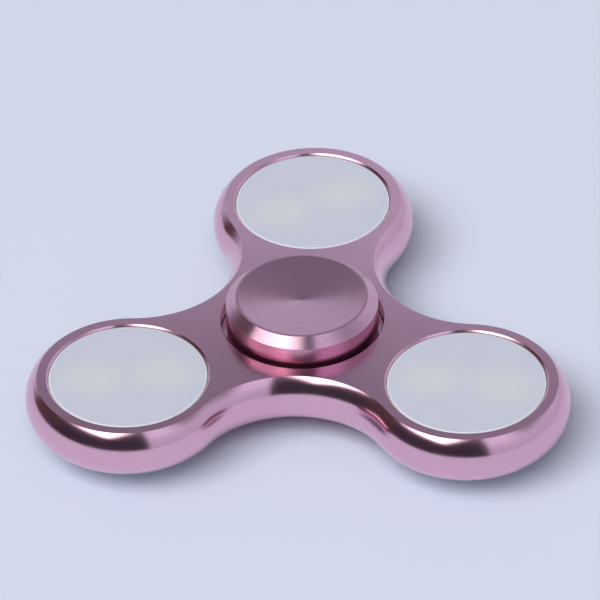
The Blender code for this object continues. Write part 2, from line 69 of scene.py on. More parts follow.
# Driving sizes. Heights are measured from the plate's middle plane.
LOBES = {1: 90 * DEGREE, 2: 210 * DEGREE, 3: 330 * DEGREE}
LOBE_PITCH_RADIUS = 26.8 * MM
LOBE_FACE_RADIUS = 12.55 * MM
WAIST_DISTANCE = 12.95 * MM
SIDE_ARC_RADIUS = 4.7 * MM
HALF_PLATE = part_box("body_frame")[1][2]
MOUTH_RADIUS = 11.0 * MM
MOUTH_CHAMFER = 0.25 * MM
LIP_THICKNESS = 1.6 * MM
POCKET_RADIUS = 11.5 * MM
WELL_RADIUS = 11.27 * MM
WELL_DEPTH = 2.2 * MM
SEAT_OUTER_RADIUS = 8.4 * MM
SEAT_HALF_HEIGHT = 2.45 * MM
SEAT_BORE = 6.4 * MM
EDGE_BREAK = 0.12 * MM

CAP_RADIUS = 10.56 * MM
CAP_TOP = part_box("finger_cap_top")[1][2]
CAP_RIM_TOP = 6.26 * MM
CAP_RIM_WIDTH = 1.37 * MM
DISH_LAND = 0.34 * MM
DISH_DEPTH = 0.9 * MM
SKIRT_BOTTOM = 2.0 * MM
SKIRT_WALL = 1.3 * MM
SKIRT_CEILING = 3.1 * MM
LOWER_CAP_RADIUS = 9.6 * MM
LOWER_SKIRT_WALL = 0.7 * MM
BOSS_RADIUS = 4.0 * MM
BOSS_SEAT = 2.431 * MM
POST_RADIUS = 3.12 * MM
POST_END = 0.05 * MM
STUD_RADIUS = 1.95 * MM
STUD_LENGTH = 2.4 * MM
STUD_HOLE_RADIUS = 2.0 * MM
STUD_HOLE_DEPTH = 2.6 * MM

LENS_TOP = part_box("lens_cover_1")[1][2]
LENS_RADIUS = 10.93 * MM
LENS_EDGE = 0.15 * MM
LENS_THICKNESS = 1.25 * MM
LENS_FLANGE_RADIUS = 11.3 * MM
LENS_FLANGE_TOP = 1.85 * MM
LENS_SKIRT_BORE = 9.9 * MM
LENS_SKIRT_BOTTOM = 1.35 * MM
LENS_NIB_RADIUS = 1.2 * MM
LENS_NIB_LENGTH = 0.4 * MM
MODULE_TURNS = {1: 27 * DEGREE, 2: 8.5 * DEGREE, 3: -6 * DEGREE}
LAMP_OFFSET = 4.7 * MM

COVER_RADIUS = 11.38 * MM
COVER_BASE = -3.4 * MM
COVER_THICKNESS = 0.6 * MM
COVER_RIM_BORE = 10.0 * MM
COVER_RIM_RADIUS = 10.5 * MM
COVER_RIM_HEIGHT = 1.2 * MM
# Length, width, depth and the slope at its mouth.
COIN_SLOT = (9.0 * MM, 1.4 * MM, 0.3 * MM, 0.08 * MM)

ROUND_STEPS = 192
CUTTER_STEPS = 144
SHARP_ANGLE = 28 * DEGREE

# Camera line: where it looks from, as azimuth from -Y towards +X and elevation above the floor.
CAMERA_AZIMUTH = 4.158 * DEGREE
CAMERA_ELEVATION = 38.154 * DEGREE
CAMERA_ROLL = -1.6 * DEGREE
CAMERA_DISTANCE = 0.7957
CAMERA_LENS = 343.15
CAMERA_TARGET = Vector((-0.545 * MM, 3.871 * MM, HALF_PLATE))
CAMERA_SIDE = Vector((math.cos(CAMERA_AZIMUTH), math.sin(CAMERA_AZIMUTH), 0))
CAMERA_FRONT = Vector((math.sin(CAMERA_AZIMUTH), -math.cos(CAMERA_AZIMUTH), 0))


# ---------------------------------------------------------------- node helpers

class Nodes:
    """Short names for building a shader tree."""

    def __init__(self, tree):
        self.tree = tree
        tree.nodes.clear()

    def add(self, kind, **settings):
        node = self.tree.nodes.new(kind)
        for name, value in settings.items():
            setattr(node, name, value)
        return node

    def feed(self, socket, value):
        """Links value if it is a socket, and otherwise sets it."""
        if isinstance(value, bpy.types.NodeSocket):
            self.tree.links.new(value, socket)
        else:
            socket.default_value = value

    def math(self, operation, a, b=0.0, clamp=False):
        node = self.add("ShaderNodeMath", operation=operation, use_clamp=clamp)
        self.feed(node.inputs[0], a)
        self.feed(node.inputs[1], b)
        return node.outputs[0]

    def dot(self, a, vector):
        node = self.add("ShaderNodeVectorMath", operation="DOT_PRODUCT")
        self.feed(node.inputs[0], a)
        self.feed(node.inputs[1], vector)
        return node.outputs["Value"]

    def step(self, value, low, high, out_low=0.0, out_high=1.0):
        """A smooth step of value from low to high."""
        node = self.add("ShaderNodeMapRange", interpolation_type="SMOOTHSTEP", clamp=True)
        for name, given in (("Value", value), ("From Min", low), ("From Max", high),
                            ("To Min", out_low), ("To Max", out_high)):
            self.feed(node.inputs[name], given)
        return node.outputs["Result"]

    def mix(self, factor, a, b, blend="MIX"):
        node = self.add("ShaderNodeMix", data_type="RGBA", blend_type=blend)
        self.feed(node.inputs["Factor"], factor)
        for socket, value in ((node.inputs[6], a), (node.inputs[7], b)):
            self.feed(socket, (*value, 1.0) if isinstance(value, tuple) else value)
        return node.outputs[2]

    def ramp(self, factor, stops):
        node = self.add("ShaderNodeValToRGB")
        self.feed(node.inputs["Fac"], factor)
        elements = node.color_ramp.elements
        while len(elements) < len(stops):
            elements.new(1.0)
        for element, (position, colour) in zip(elements, stops):
            element.position = position
            element.color = (*colour, 1.0)
        return node.outputs["Color"]

    def noise(self, vector, scale, detail=2.0, roughness=0.5):
        node = self.add("ShaderNodeTexNoise")
        self.feed(node.inputs["Vector"], vector)
        node.inputs["Scale"].default_value = scale
        node.inputs["Detail"].default_value = detail
        node.inputs["Roughness"].default_value = roughness
        return node.outputs["Fac"]

    def bump(self, height, distance):
        node = self.add("ShaderNodeBump")
        node.inputs["Strength"].default_value = 1.0
        node.inputs["Distance"].default_value = distance
        self.feed(node.inputs["Height"], height)
        return node.outputs["Normal"]

    def place(self):
        """Coordinates in the object's own space, in metres."""
        return self.add("ShaderNodeTexCoord").outputs["Object"]

    def radius(self, place):
        """Distance from the object's own Z axis."""
        flat = self.add("ShaderNodeVectorMath", operation="MULTIPLY")
        self.feed(flat.inputs[0], place)
        flat.inputs[1].default_value = (1, 1, 0)
        length = self.add("ShaderNodeVectorMath", operation="LENGTH")
        self.feed(length.inputs[0], flat.outputs[0])
        return length.outputs["Value"]


def new_material(name):
    """A material with a Principled shader wired to its output; returns it, its nodes and the shader."""
    material = bpy.data.materials.new(name)
    material.use_nodes = True
    nodes = Nodes(material.node_tree)
    shader = nodes.add("ShaderNodeBsdfPrincipled")
    output = nodes.add("ShaderNodeOutputMaterial")
    nodes.feed(output.inputs["Surface"], shader.outputs[0])
    return material, nodes, shader


# ---------------------------------------------------------------- materials

ROSE = (0.81, 0.49, 0.61)
ROSE_DEEP = (0.78, 0.46, 0.58)
# A darker, deeper rose for the cap's wall: painted shade.
ROSE_SHADED_WALL = (0.72, 0.38, 0.51)
ROSE_SHADED_WALL_DEEP = (0.69, 0.35, 0.48)


def anodised(name, colour, deep, roughness, spread, grain):
    """Dyed anodised aluminium: slow colour drift, uneven sheen and a fine etched grain."""
    material, n, shader = new_material(name)
    place = n.place()
    drift = n.noise(place, 60.0, 3.0)
    n.feed(shader.inputs["Base Color"], n.mix(n.step(drift, 0.3, 0.7), deep, colour))
    sheen = n.noise(place, 420.0, 2.0)
    n.feed(shader.inputs["Roughness"], n.step(sheen, 0.25, 0.75, roughness - spread, roughness + spread))
    shader.inputs["Metallic"].default_value = 1.0
    fine = n.noise(place, 9000.0, 2.0, 0.6)
    n.feed(shader.inputs["Normal"], n.bump(fine, grain))
    return material


def turned_metal(name, colour, deep, roughness, pitch, depth, anisotropic):
    """Anodised metal that was faced on a lathe: rings of fine marks around the object's own Z axis."""
    material, n, shader = new_material(name)
    place = n.place()
    radius = n.radius(place)
    ring_space = n.add("ShaderNodeCombineXYZ")
    n.feed(ring_space.inputs[0], radius)
    rings = n.noise(ring_space.outputs[0], 1.0 / pitch, 3.0, 0.7)
    broad = n.noise(ring_space.outputs[0], 900.0, 2.0)
    n.feed(shader.inputs["Base Color"], n.mix(n.step(broad, 0.3, 0.7), deep, colour))
    n.feed(shader.inputs["Roughness"], n.step(rings, 0.2, 0.8, roughness * 0.85, roughness * 1.15))
    shader.inputs["Metallic"].default_value = 1.0
    shader.inputs["Anisotropic"].default_value = anisotropic
    shader.inputs["Anisotropic Rotation"].default_value = 0.25
    tangent = n.add("ShaderNodeTangent", direction_type="RADIAL", axis="Z")
    n.feed(shader.inputs["Tangent"], tangent.outputs[0])
    n.feed(shader.inputs["Normal"], n.bump(rings, depth))
    return material


def milky(name):
    """Light-diffusing plastic with two spots of painted lamp glow where the lamps sit under it, and a painted
    highlight in a paler ring at its rim.
    """
    material, n, shader = new_material(name)
    place = n.place()
    body = (0.518, 0.545, 0.645)
    # Painted lamp glow: over the lamps the base colour turns to this paler, yellower tone.
    painted_glow_colour = (0.574, 0.594, 0.628)
    # Painted highlight at the rim: in a thin ring the base colour turns to this paler tone.
    edge = (0.66, 0.68, 0.74)
    rim_highlight_start, rim_highlight_end = LENS_RADIUS - 0.32 * MM, LENS_RADIUS - 0.12 * MM
    squash = 0.85
    glow = None
    for side in (-1, 1):
        away = n.add("ShaderNodeVectorMath", operation="DISTANCE")
        flat = n.add("ShaderNodeVectorMath", operation="MULTIPLY")
        n.feed(flat.inputs[0], place)
        flat.inputs[1].default_value = (squash, 1, 0)
        n.feed(away.inputs[0], flat.outputs[0])
        away.inputs[1].default_value = (side * LAMP_OFFSET * squash, 0, 0)
        # Painted lamp glow: a soft round spot over each lamp.
        spot = n.step(away.outputs["Value"], 0.6 * MM, 6.4 * MM, 1.0, 0.0)
        glow = spot if glow is None else n.math("MAXIMUM", glow, spot)
    cloud = n.step(n.noise(place, 260.0, 2.0), 0.3, 0.7, 0.85, 1.0)
    colour = n.mix(n.math("MULTIPLY", glow, cloud), body, painted_glow_colour)
    # Painted highlight: a paler ring at the rim.
    colour = n.mix(n.step(n.radius(place), rim_highlight_start, rim_highlight_end), colour, edge)
    n.feed(shader.inputs["Base Color"], colour)
    shader.inputs["Roughness"].default_value = 0.38
    shader.inputs["IOR"].default_value = 1.45
    shader.inputs["Subsurface Weight"].default_value = 0.35
    shader.inputs["Subsurface Radius"].default_value = (1.0, 0.95, 0.9)
    shader.inputs["Subsurface Scale"].default_value = 1.2 * MM
    n.feed(shader.inputs["Normal"], n.bump(n.noise(place, 5000.0, 2.0), 0.0015 * MM))
    return material


def plastic(name, colour, roughness=0.45, grain=0.004 * MM):
    """Moulded plastic with a slight tone drift and a fine spark-eroded grain."""
    material, n, shader = new_material(name)
    place = n.place()
    darker = tuple(c * 0.9 for c in colour)
    n.feed(shader.inputs["Base Color"], n.mix(n.noise(place, 300.0, 3.0), darker, colour))
    sheen = n.noise(place, 900.0)
    n.feed(shader.inputs["Roughness"], n.step(sheen, 0.3, 0.7, roughness - 0.05, roughness + 0.05))
    n.feed(shader.inputs["Normal"], n.bump(n.noise(place, 6000.0, 3.0), grain))
    return material


def circuit_board(name):
    """Green solder mask with paler copper tracks under it."""
    material, n, shader = new_material(name)
    place = n.place()
    weave = n.noise(place, 2500.0, 2.0)
    track = n.add("ShaderNodeTexBrick", offset=0.5, squash=1.0)
    n.feed(track.inputs["Vector"], place)
    track.inputs["Scale"].default_value = 320.0
    track.inputs["Mortar Size"].default_value = 0.06
    track.inputs["Color1"].default_value = (0.03, 0.17, 0.08, 1)
    track.inputs["Color2"].default_value = (0.035, 0.19, 0.09, 1)
    track.inputs["Mortar"].default_value = (0.07, 0.30, 0.14, 1)
    mask = n.mix(n.step(weave, 0.3, 0.7, 0.0, 0.15), track.outputs["Color"], (0.02, 0.1, 0.05))
    n.feed(shader.inputs["Base Color"], mask)
    shader.inputs["Roughness"].default_value = 0.35
    shader.inputs["Coat Weight"].default_value = 0.4
    n.feed(shader.inputs["Normal"], n.bump(track.outputs["Fac"], 0.01 * MM))
    return material


def lamp_package(name):
    """A lamp package, white with a round yellow phosphor window; this finish colours all of it pale yellow
    with a slight tone drift.
    """
    material, n, shader = new_material(name)
    place = n.place()
    n.feed(shader.inputs["Base Color"], n.mix(n.noise(place, 1500.0), (0.86, 0.80, 0.42), (0.93, 0.90, 0.66)))
    n.feed(shader.inputs["Roughness"], n.step(n.noise(place, 3000.0), 0.3, 0.7, 0.28, 0.4))
    return material


def plain_metal(name, colour, roughness, grain):
    """Bare metal with fine polishing marks."""
    material, n, shader = new_material(name)
    place = n.place()
    marks = n.noise(place, 2500.0, 3.0)
    darker = tuple(c * 0.88 for c in colour)
    n.feed(shader.inputs["Base Color"], n.mix(marks, darker, colour))
    n.feed(shader.inputs["Roughness"], n.step(marks, 0.3, 0.7, roughness * 0.8, roughness * 1.2))
    shader.inputs["Metallic"].default_value = 1.0
    n.feed(shader.inputs["Normal"], n.bump(n.noise(place, 9000.0), grain))
    return material


FACE = anodised("rose_face", ROSE, ROSE_DEEP, 0.22, 0.015, 0.0012 * MM)
SIDE = anodised("rose_side", ROSE, ROSE_DEEP, 0.165, 0.012, 0.0012 * MM)
DISH = turned_metal("rose_dish", ROSE, ROSE_DEEP, 0.19, 0.08 * MM, 0.00004 * MM, 0.3)
RIM = turned_metal("rose_rim", ROSE, ROSE_DEEP, 0.29, 0.2 * MM, 0.0001 * MM, 0.95)
# The cap's wall wears the darker rose: painted shade.
SHADED_WALL = turned_metal("rose_wall_shaded", ROSE_SHADED_WALL, ROSE_SHADED_WALL_DEEP, 0.24, 0.2 * MM, 0.0001 * MM, 0.5)
LENS = milky("milky_lens")
FINISHES = {
    "rose_plate": FACE,
    "rose_cap": RIM,
    "milky_lens": LENS,
    "bearing_steel": plain_metal("bearing_steel", (0.62, 0.62, 0.64), 0.22, 0.001 * MM),
    "ball_steel": plain_metal("ball_steel", (0.78, 0.78, 0.80), 0.06, 0.0002 * MM),
    "cage_brass": plain_metal("cage_brass", (0.78, 0.58, 0.26), 0.28, 0.002 * MM),
    "white_plastic": plastic("white_plastic", (0.80, 0.80, 0.79)),
    "board_green": circuit_board("board_green"),
    "led_package": lamp_package("led_package"),
    "black_plastic": plastic("black_plastic", (0.025, 0.025, 0.027), 0.4),
    "cell_steel": plain_metal("cell_steel", (0.70, 0.71, 0.73), 0.2, 0.001 * MM),
    "spring_steel": plain_metal("spring_steel", (0.72, 0.70, 0.64), 0.28, 0.001 * MM),
}


# ---------------------------------------------------------------- mesh helpers

def new_piece(name, mesh, body, stands_for, location=(0, 0, 0), turn=0.0, flip=False):
    """Puts a finished mesh in the scene, riding on a body and standing for a CAD node."""
    piece = bpy.data.objects.new(name, mesh)
    bpy.context.scene.collection.objects.link(piece)
    piece.location = location
    piece.rotation_euler = (math.pi if flip else 0.0, 0.0, turn)
    bpy.context.view_layer.update()
    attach(piece, body)
    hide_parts(stands_for)
    return piece


def smooth(mesh):
    mesh.shade_smooth()
    mesh.set_sharp_from_angle(angle=SHARP_ANGLE)


def rounded(corners, steps=5):
    """A profile from (radius, height, fillet) corners, each fillet drawn as a short arc."""
    points = []
    for i, (r, z, fillet) in enumerate(corners):
        here = Vector((r, z))
        if not fillet or i in (0, len(corners) - 1):
            points.append(here)
            continue
        before = (Vector(corners[i - 1][:2]) - here).normalized()
        after = (Vector(corners[i + 1][:2]) - here).normalized()
        half = before.angle(after) / 2
        reach = fillet / math.tan(half)
        middle = here + (before + after).normalized() * (fillet / math.sin(half))
        start = here + before * reach - middle
        end = here + after * reach - middle
        sweep = start.angle_signed(end)
        for k in range(steps + 1):
            angle = -sweep * k / steps
            turn = Matrix.Rotation(angle, 2)
            points.append(middle + turn @ start)
    return points


def braced(profile, brace=0.04 * MM):
    """Adds a point near both ends of each long straight run, so that smooth shading keeps it straight."""
    points = [profile[0]]
    for here, there in zip(profile, profile[1:]):
        here, there = Vector(here), Vector(there)
        run = there - here
        if run.length > 5 * brace:
            step = run.normalized() * brace
            points += [here + step, there - step]
        points.append(there)
    return points


def turned(name, profile, materials, steps=ROUND_STEPS, pick=None):
    """Turns (radius, height) points about Z into a mesh. pick gives a face's material from its middle."""
    mesh = bpy.data.meshes.new(name)
    bm = bmesh.new()
    rows = []
    for r, z in braced(profile):
        if r < 1e-7:
            rows.append([bm.verts.new((0, 0, z))])
            continue
        rows.append([bm.verts.new((r * math.cos(math.tau * k / steps), r * math.sin(math.tau * k / steps), z))
                     for k in range(steps)])
    for upper, lower in zip(rows, rows[1:]):
        for k in range(steps):
            m = (k + 1) % steps
            loop = [upper[k % len(upper)], lower[k % len(lower)],
                    lower[m % len(lower)], upper[m % len(upper)]]
            loop = [v for j, v in enumerate(loop) if v not in loop[:j]]
            face = bm.faces.new(loop)
            if pick:
                face.material_index = pick(face.calc_center_median())
    bm.normal_update()
    bm.to_mesh(mesh)
    bm.free()
    for material in materials:
        mesh.materials.append(material)
    smooth(mesh)
    return mesh


def evaluated(obj):
    graph = bpy.context.evaluated_depsgraph_get()
    return bpy.data.meshes.new_from_object(obj.evaluated_get(graph))


def polar(radius, angle):
    return Vector((radius * math.cos(angle), radius * math.sin(angle)))


def lobe_centre(lobe, height=0.0):
    x, y = polar(LOBE_PITCH_RADIUS, LOBES[lobe])
    return Vector((x, y, height))


# ---------------------------------------------------------------- rotor plate

def arc(centre, radius, start, end, steps):
    return [centre + polar(radius, start + (end - start) * i / steps) for i in range(steps)]


def plate_outline(offset, lobe_steps=96, fillet_steps=32):
    """The plate's outline moved outwards by offset: round lobes joined by concave fillets."""
    along = LOBE_PITCH_RADIUS * math.cos(60 * DEGREE)
    across = LOBE_PITCH_RADIUS * math.sin(60 * DEGREE)
    gap = WAIST_DISTANCE - along
    fillet = (gap ** 2 + across ** 2 - LOBE_FACE_RADIUS ** 2) / (2 * (LOBE_FACE_RADIUS - gap))
    points = []
    for angle in LOBES.values():
        lobe = polar(LOBE_PITCH_RADIUS, angle)
        waist = polar(WAIST_DISTANCE + fillet, angle + 60 * DEGREE)
        towards = waist - lobe
        sweep = (math.atan2(towards.y, towards.x) - angle + math.pi) % math.tau - math.pi
        points += arc(lobe, LOBE_FACE_RADIUS + offset, angle - sweep, angle + sweep, lobe_steps)
        entry = angle + sweep + math.pi
        points += arc(waist, fillet - offset, entry, entry - 2 * (sweep - 60 * DEGREE), fillet_steps)
    return points


def side_rings(steps=28):
    edge = math.asin(HALF_PLATE / SIDE_ARC_RADIUS)
    for i in range(steps + 1):
        angle = edge * (1 - 2 * i / steps)
        yield SIDE_ARC_RADIUS * (math.cos(angle) - math.cos(edge)), SIDE_ARC_RADIUS * math.sin(angle)


def plate_blank():
    bm = bmesh.new()
    rings = [[bm.verts.new((*point, height)) for point in plate_outline(offset)]
             for offset, height in side_rings()]
    for upper, lower in zip(rings, rings[1:]):
        for i in range(len(upper)):
            bm.faces.new((upper[i - 1], lower[i - 1], lower[i], upper[i]))
    bm.faces.new(rings[0])
    bm.faces.new(list(reversed(rings[-1])))
    mesh = bpy.data.meshes.new("plate_blank")
    bm.to_mesh(mesh)
    bm.free()
    return mesh


def pocket_profile():
    over = 1 * MM
    lip = HALF_PLATE - LIP_THICKNESS
    chamfer = 0.25 * MM
    return rounded([
        (0, HALF_PLATE + over, 0),
        (MOUTH_RADIUS + MOUTH_CHAMFER + over, HALF_PLATE + over, 0),
        (MOUTH_RADIUS, HALF_PLATE - MOUTH_CHAMFER, 0.12 * MM),
        (MOUTH_RADIUS, lip, 0),
        (POCKET_RADIUS, lip, 0),
        (POCKET_RADIUS, -HALF_PLATE + chamfer, 0),
        (POCKET_RADIUS + chamfer + over, -HALF_PLATE - over, 0),
        (0, -HALF_PLATE - over, 0),
    ])


def centre_profile():
    over = 1 * MM
    floor = HALF_PLATE - WELL_DEPTH
    half = [
        (0, HALF_PLATE + over, 0),
        (WELL_RADIUS + EDGE_BREAK + over, HALF_PLATE + over, 0),
        (WELL_RADIUS, HALF_PLATE - EDGE_BREAK, 0.06 * MM),
        (WELL_RADIUS, floor, 0.15 * MM),
        (SEAT_OUTER_RADIUS, floor, 0.15 * MM),
        (SEAT_OUTER_RADIUS, SEAT_HALF_HEIGHT, 0),
        (SEAT_BORE + 0.2 * MM, SEAT_HALF_HEIGHT, 0),
        (SEAT_BORE, SEAT_HALF_HEIGHT - 0.2 * MM, 0),
    ]
    return rounded(half + [(r, -z, fillet) for r, z, fillet in reversed(half)])


def carved(name, mesh, cutters):
    """The mesh with each cutter, given as a mesh and its location, taken away from it."""
    blank = bpy.data.objects.new(name, mesh)
    bpy.context.scene.collection.objects.link(blank)
    tools = []
    for cutter, location in cutters:
        tool = bpy.data.objects.new(cutter.name, cutter)
        bpy.context.scene.collection.objects.link(tool)
        tool.location = location
        tools.append(tool)
        cut = blank.modifiers.new(cutter.name, "BOOLEAN")
        cut.operation = "DIFFERENCE"
        cut.solver = "EXACT"
        cut.object = tool
    bpy.context.view_layer.update()
    result = evaluated(blank)
    for obj in tools + [blank]:
        bpy.data.objects.remove(obj, do_unlink=True)
    return result


def make_plate():
    cutters = [(turned("centre", centre_profile(), [], steps=CUTTER_STEPS), (0, 0, 0))]
    cutters += [(turned("pocket", pocket_profile(), [], steps=CUTTER_STEPS), lobe_centre(lobe))
                for lobe in LOBES]
    mesh = carved("plate", plate_blank(), cutters)
    mesh.materials.clear()
    mesh.materials.append(FACE)
    mesh.materials.append(SIDE)
    for face in mesh.polygons:
        face.material_index = 0 if abs(face.normal.z) > 0.999 else 1
    smooth(mesh)
    new_piece("plate_fine", mesh, "rotor", "body_frame")


# ---------------------------------------------------------------- thumb caps

def cap_profile(radius, wall, post):
    """Dish, flat ring, sloping rim, wall and hollow underside; post gives the corners inside the bearing."""
    dish_edge = radius - CAP_RIM_WIDTH
    return rounded([
        (0, CAP_TOP - DISH_DEPTH, 0),
        (dish_edge - DISH_LAND, CAP_TOP, 0),
        (dish_edge, CAP_TOP, 0.08 * MM),
        (radius, CAP_RIM_TOP, 0.08 * MM),
        (radius, SKIRT_BOTTOM, 0.15 * MM),
        (radius - wall, SKIRT_BOTTOM, 0.15 * MM),
        (radius - wall, SKIRT_CEILING, 0.3 * MM),
        (BOSS_RADIUS, SKIRT_CEILING, 0.3 * MM),
        (BOSS_RADIUS, BOSS_SEAT, 0),
        (POST_RADIUS, BOSS_SEAT, 0),
        (POST_RADIUS, POST_END, 0.2 * MM),
    ] + post)


def cap_zone(radius, middle):
    """Which finish a face of a cap has: 0 in the dish, 1 on the rim and 2 below it, where a darker rose is
    painted shade.
    """
    if middle.z < CAP_RIM_TOP:
        return 2
    inside_land = radius - CAP_RIM_WIDTH - 0.1 * MM
    return 0 if math.hypot(middle.x, middle.y) < inside_land else 1


def make_caps():
    """Two caps that meet inside the bearing: a stud on the upper one enters a hole in the lower one."""
    stud = [
        (STUD_RADIUS, POST_END, 0),
        (STUD_RADIUS, -STUD_LENGTH, 0.3 * MM),
        (0, -STUD_LENGTH, 0),
    ]
    hole = [
        (STUD_HOLE_RADIUS, POST_END, 0),
        (STUD_HOLE_RADIUS, STUD_HOLE_DEPTH, 0),
        (0, STUD_HOLE_DEPTH, 0),
    ]
    for name, radius, wall, post, node, flip in (
        ("cap_top_fine", CAP_RADIUS, SKIRT_WALL, stud, "finger_cap_top", False),
        ("cap_bottom_fine", LOWER_CAP_RADIUS, LOWER_SKIRT_WALL, hole, "finger_cap_bottom", True),
    ):
        mesh = turned(name, cap_profile(radius, wall, post), [DISH, RIM, SHADED_WALL],
                      pick=lambda middle: cap_zone(radius, middle))
        new_piece(name, mesh, "hub", node, flip=flip)


# ---------------------------------------------------------------- lenses and covers

def lens_profile():
    """A flat window with a retaining flange and, in the middle of its underside, a nib."""
    under = LENS_TOP - LENS_THICKNESS
    nib_end = under - LENS_NIB_LENGTH
    return rounded([
        (0, LENS_TOP, 0),
        (LENS_RADIUS, LENS_TOP, LENS_EDGE),
        (LENS_RADIUS, LENS_FLANGE_TOP, 0),
        (LENS_FLANGE_RADIUS, LENS_FLANGE_TOP, 0.08 * MM),
        (LENS_FLANGE_RADIUS, LENS_SKIRT_BOTTOM, 0.08 * MM),
        (LENS_SKIRT_BORE, LENS_SKIRT_BOTTOM, 0.15 * MM),
        (LENS_SKIRT_BORE, under, 0.3 * MM),
        (LENS_NIB_RADIUS, under, 0.1 * MM),
        (LENS_NIB_RADIUS, nib_end, 0.15 * MM),
        (0, nib_end, 0),
    ])


def make_lenses():
    for lobe in LOBES:
        mesh = turned(f"lens_fine_{lobe}", lens_profile(), [LENS])
        new_piece(f"lens_fine_{lobe}", mesh, f"lens_{lobe}", f"lens_cover_{lobe}",
                  lobe_centre(lobe), MODULE_TURNS[lobe])


def cover_profile():
    """A back cover: a disc with a low rim that centres it in its tray."""
    disc_top = COVER_BASE + COVER_THICKNESS
    rim_top = COVER_BASE + COVER_RIM_HEIGHT
    return rounded([
        (0, disc_top, 0),
        (COVER_RIM_BORE, disc_top, 0),
        (COVER_RIM_BORE, rim_top, 0),
        (COVER_RIM_RADIUS, rim_top, 0),
        (COVER_RIM_RADIUS, disc_top, 0),
        (COVER_RADIUS, disc_top, 0.06 * MM),
        (COVER_RADIUS, COVER_BASE, 0.12 * MM),
        (0, COVER_BASE, 0),
    ])


def coin_slot():
    """A slot with round ends and a sloping mouth, to be cut into a cover's face."""
    length, width, depth, slope = COIN_SLOT
    mesh = bpy.data.meshes.new("coin_slot")
    bm = bmesh.new()
    rows = []
    for z, spread in ((-depth, slope + depth), (0, slope), (slope, 0), (depth, 0)):
        straight, end = (length - width) / 2, width / 2 + spread
        outline = arc(Vector((straight, 0)), end, -math.pi / 2, math.pi / 2, 16)
        outline += arc(Vector((-straight, 0)), end, math.pi / 2, 3 * math.pi / 2, 16)
        rows.append([bm.verts.new((x, y, z)) for x, y in outline])
    for lower, upper in zip(rows, rows[1:]):
        for k in range(len(lower)):
            m = (k + 1) % len(lower)
            bm.faces.new((lower[k], lower[m], upper[m], upper[k]))
    bm.faces.new(list(reversed(rows[0])))
    bm.faces.new(rows[-1])
    bm.to_mesh(mesh)
    bm.free()
    return mesh


def make_covers():
    for lobe in LOBES:
        disc = turned(f"cover_{lobe}", cover_profile(), [])
        mesh = carved(f"cover_{lobe}", disc, [(coin_slot(), (0, 0, COVER_BASE))])
        mesh.materials.clear()
        mesh.materials.append(FINISHES["white_plastic"])
        smooth(mesh)
        new_piece(f"cover_fine_{lobe}", mesh, "rotor", f"back_cover_{lobe}",
                  lobe_centre(lobe), MODULE_TURNS[lobe])


def dress_nodes():
    """Gives every CAD node that is still shown the procedural finish of its slot."""
    slots = {part["node"]: part["material_slot"] for part in frame["record"]["subparts"]}
    for name, node in frame["nodes"].items():
        finish = FINISHES[slots[name]]
        for material_slot in node.material_slots:
            material_slot.material = finish


# ---------------------------------------------------------------- studio

FLOOR_COLOUR = (0.62, 0.667, 0.805)
KEY_RADIANCE = 6.65
SOFTBOX_RADIANCE = 3.2
ROOM_FILL = (0.262, 0.243, 0.232)
CARD_FADE = (0.112, 0.128)
CARD_LOW = (0.49, 0.53, 0.63)
CARD_HIGH = (0.19, 0.19, 0.24)


def make_floor():
    size = 3.0
    bpy.ops.mesh.primitive_plane_add(size=size, location=(0, 0, CAD_BOX[0][2]))
    floor = bpy.context.object
    floor.name = "floor"
    material, n, shader = new_material("floor")
    place = n.place()
    tone = n.noise(place, 3.0, 2.0)
    darker = tuple(c * 0.985 for c in FLOOR_COLOUR)
    n.feed(shader.inputs["Base Color"], n.mix(tone, darker, FLOOR_COLOUR))
    shader.inputs["Roughness"].default_value = 0.7
    floor.data.materials.append(material)


